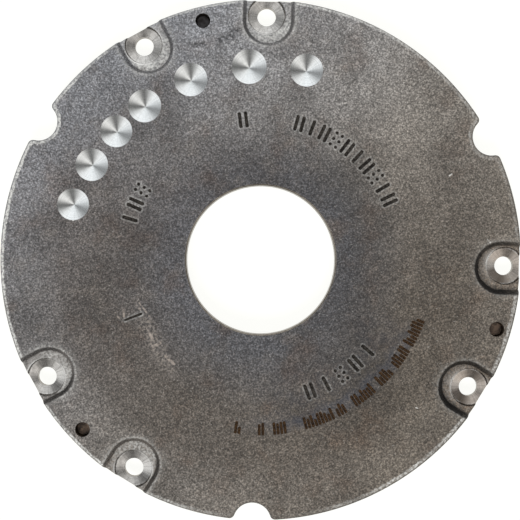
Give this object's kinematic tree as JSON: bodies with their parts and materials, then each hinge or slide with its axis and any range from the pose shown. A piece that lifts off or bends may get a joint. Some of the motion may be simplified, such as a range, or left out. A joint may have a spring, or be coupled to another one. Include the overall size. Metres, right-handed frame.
{
  "type": "clutch pressure plate",
  "caption": "Round cast-iron clutch pressure plate with a centre bore, paired spot-faced bolt seats, rim notches, balancing drill marks and dowels behind.",
  "frame": {"origin": "centre of the ground back face, on the bore axis", "axes": "+Z along the bore towards the as-cast front, +Y through the first locating pin"},
  "size_m": [0.21, 0.21, 0.015],
  "materials": {
    "cast_iron": "as cast, ground behind",
    "pin_steel": "ground"
  },
  "bodies": {
    "root": {"pressure_plate": "cast_iron", "locating_pin_1": "pin_steel", "locating_pin_2": "pin_steel", "locating_pin_3": "pin_steel"}
  },
  "joints": []
}
